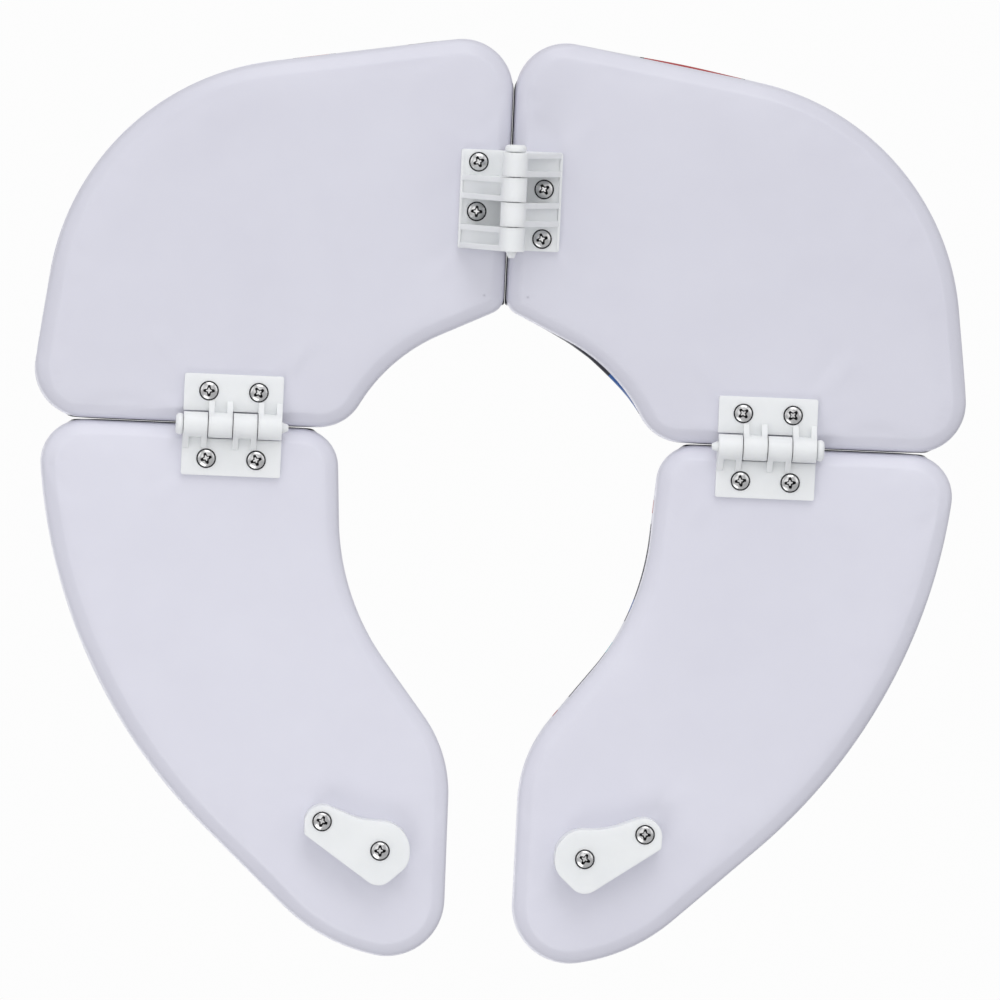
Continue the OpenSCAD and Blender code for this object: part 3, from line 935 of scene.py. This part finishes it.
def make_screws():
    """Two screws to a node, each cross turned its own way."""
    pattern = screw_mesh()
    turns = random.Random(5)
    pitch = HINGE_L / 4
    y0 = FOLD_Y + CENTRE_HINGE_Y
    sets = {}
    for side, word in SIDES:
        x, off = side * SIDE_HINGE_X, side * CENTRE_SCREW_X
        for sign, part in ((1, "rear"), (-1, "leg")):
            sets[f"{word}_hinge_{part}_screws"] = (
                f"{part}_{word}",
                [(x + s * SIDE_SCREW[0], FOLD_Y + sign * SIDE_SCREW[1]) for s in (-1, 1)], PLATE_T)
        sets[f"{word}_lug_screws"] = (
            f"leg_{word}", [(side * a, FOLD_Y + b) for a, b in LUG_SCREWS], LUG_H)
        # the leaves interleave, so one side's screws are a knuckle further along
        sets[f"centre_hinge_{word}_screws"] = (
            f"rear_{word}",
            [(off, y0 + (side / 2 + 1) * pitch), (off, y0 + (side / 2 - 1) * pitch)], PLATE_T)
    for node in sorted(sets):
        body, places, height = sets[node]
        low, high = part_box(node)
        bm = bmesh.new()
        for x, y in places:
            if not (low.x <= x * MM <= high.x and low.y <= y * MM <= high.y):
                raise RuntimeError(f"{node} isn't where this script puts it")
            part = pattern.copy()
            turn = Matrix.Rotation(turns.uniform(0, math.pi / 2), 4, "Z")
            tip = Matrix.Rotation(math.radians(turns.uniform(-TIP, TIP)), 4, "X")
            place = Matrix.Translation((x * MM, y * MM, (SEAT_Z - height) * MM))
            part.transform(place @ tip @ turn)
            bm.from_mesh(part)
            bpy.data.meshes.remove(part)
        obj = object_from(node.replace("_screws", "_cross_screws"), bm)
        for m in (CHROME, PAINTED_SHADE_STEEL):   # not by dress, which would reset the faces' materials
            obj.data.materials.append(m)
        obj.data.set_sharp_from_angle(angle=math.radians(12))
        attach(obj, body)
        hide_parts(node)
    bpy.data.meshes.remove(pattern)


def make_mouldings():
    """Hinge leaves, pins and lugs; the hidden boards only get their material."""
    bodies = {n: b for b, names in frame["record"]["behaviour"]["bodies"].items() for n in names}
    for node in sorted(NODES):
        if node.endswith("_leaf") or node.endswith("_pin"):
            moulded(node, node + "_moulding", bodies[node], EDGE_BREAK)
        elif node.endswith("_lug"):
            moulded(node, node + "_moulding", bodies[node], LUG_EDGE_BREAK)
        elif node.endswith("_base_board"):
            dress(NODES[node], BOARD)


# ---------------------------------------------------------------- floor, light and camera

# Lengths in this section are metres, but for the camera's sensor
LEAN = math.radians(2.541)     # the object lies turned by this much in the view
TILT_LEFT = math.radians(2.5)  # and the camera stands a little to one side of straight below
TILT_UP = math.radians(2.7)
FIELD = 0.3552                 # what the view takes in, at the object
REACH = 4.5
SENSOR = 36
SHIFT = (0.0033, 0.002)        # the object stands a little off the view's middle
TARGET = Vector((0.0, 0.0, SEAT_Z * MM))
FLOOR_Z, FLOOR_HALF = -5.6, 60  # far below, so that the view from below stands above it


def place_camera():
    """Far below, looking up at the underside through a long lens."""
    right = Vector((-math.cos(LEAN), math.sin(LEAN), 0))
    up = Vector((math.sin(LEAN), math.cos(LEAN), 0))
    data = bpy.data.cameras.new("camera")
    camera = bpy.data.objects.new("camera", data)
    scene.collection.objects.link(camera)
    scene.camera = camera
    back = (Vector((0, 0, -1)) - right * math.tan(TILT_LEFT) + up * math.tan(TILT_UP)).normalized()
    camera.location = TARGET + back * REACH
    y_axis = (up - back * up.dot(back)).normalized()
    x_axis = y_axis.cross(back)
    camera.rotation_mode = "QUATERNION"
    camera.rotation_quaternion = Matrix((x_axis, y_axis, back)).transposed().to_quaternion()
    data.sensor_width = SENSOR
    data.lens = SENSOR * REACH / FIELD
    data.clip_start, data.clip_end = 0.05, 60
    data.shift_x, data.shift_y = SHIFT


def lay_floor():
    """A pale matt floor."""
    corners = [(-1, -1), (1, -1), (1, 1), (-1, 1)]
    floor = new_object("floor", [(x * FLOOR_HALF, y * FLOOR_HALF, FLOOR_Z) for x, y in corners],
                       [[0, 1, 2, 3]])
    s = Shader("floor")
    grey = s.ramp(s.noise(0.4, 2), "Fac", [(0.3, (0.90, 0.90, 0.90)), (0.7, (0.92, 0.92, 0.92))])
    s.join(grey, "Color", s.bsdf, "Base Color")
    s.set(Roughness=0.9, Specular_IOR_Level=0.1)
    dress(floor, s.material)


def light_world():
    """A white studio: plain where it is seen, and dimmer towards -Y where it lights the object."""
    world = bpy.data.worlds.new("studio")
    scene.world = world
    world.use_nodes = True
    tree = world.node_tree
    tree.nodes.clear()
    add, link = tree.nodes.new, tree.links.new
    out = add("ShaderNodeOutputWorld")
    seen, lit = add("ShaderNodeBackground"), add("ShaderNodeBackground")
    seen.inputs["Color"].default_value = (0.98, 0.98, 0.98, 1)
    seen.inputs["Strength"].default_value = 1.0
    lit.inputs["Strength"].default_value = 0.6
    place, axes = add("ShaderNodeTexCoord"), add("ShaderNodeSeparateXYZ")
    share, ramp = add("ShaderNodeMath"), add("ShaderNodeValToRGB")
    share.operation = "MULTIPLY_ADD"
    share.inputs[1].default_value = share.inputs[2].default_value = 0.5
    low, high = ramp.color_ramp.elements
    low.position, low.color = 0.15, (0.55, 0.56, 0.6, 1)
    high.position, high.color = 0.85, (1, 1, 1, 1)
    link(place.outputs["Generated"], axes.inputs[0])
    link(axes.outputs["Y"], share.inputs[0])
    link(share.outputs[0], ramp.inputs["Fac"])
    link(ramp.outputs["Color"], lit.inputs["Color"])
    path, both = add("ShaderNodeLightPath"), add("ShaderNodeMixShader")
    link(path.outputs["Is Camera Ray"], both.inputs["Fac"])
    link(lit.outputs[0], both.inputs[1])
    link(seen.outputs[0], both.inputs[2])
    link(both.outputs[0], out.inputs["Surface"])


def lamp(name, kind, direction, distance=0.0, **settings):
    """A light that shines on the object from that direction."""
    data = bpy.data.lights.new(name, kind)
    for key, value in settings.items():
        setattr(data, key, value)
    obj = bpy.data.objects.new(name, data)
    scene.collection.objects.link(obj)
    d = Vector(direction).normalized()
    obj.location = TARGET + d * distance
    obj.rotation_mode = "QUATERNION"
    obj.rotation_quaternion = d.to_track_quat("Z", "Y")


# Soft square lights: name, direction, distance, size and power
LIGHTS = [
    # seen from below: a frontal one, the main one and a low one at the back, and weak ones around
    ("light_front", (0.1, 0.1, -0.98), 3.0, 1.5, 5),
    ("light_back", (-0.1, 0.66, -0.74), 4.0, 2.0, 24),
    ("light_rim", (0.1, 0.95, -0.3), 3.0, 2.0, 17),
    ("light_left", (-0.66, 0.26, -0.7), 2.6, 1.2, 3.5),
    ("light_right", (0.66, 0.26, -0.7), 2.0, 1.0, 2.6),
    ("light_tail", (0.3, -0.6, -0.75), 1.3, 0.6, 2.2),
    # from above
    ("light_above", (0.4, -0.45, 0.8), 3.5, 3.5, 35),
]

# ---------------------------------------------------------------- the scene

make_panels()
make_mouldings()
make_screws()

scene.view_settings.view_transform = "Standard"
scene.view_settings.look = "None"
scene.view_settings.exposure = 0
scene.view_settings.gamma = 1
place_camera()
lay_floor()
light_world()
for name, direction, distance, size, power in LIGHTS:
    lamp(name, "AREA", direction, distance, shape="SQUARE", size=size, energy=power)
lamp("sun_above", "SUN", (0.25, -0.3, 1), energy=0.55, angle=math.radians(70))
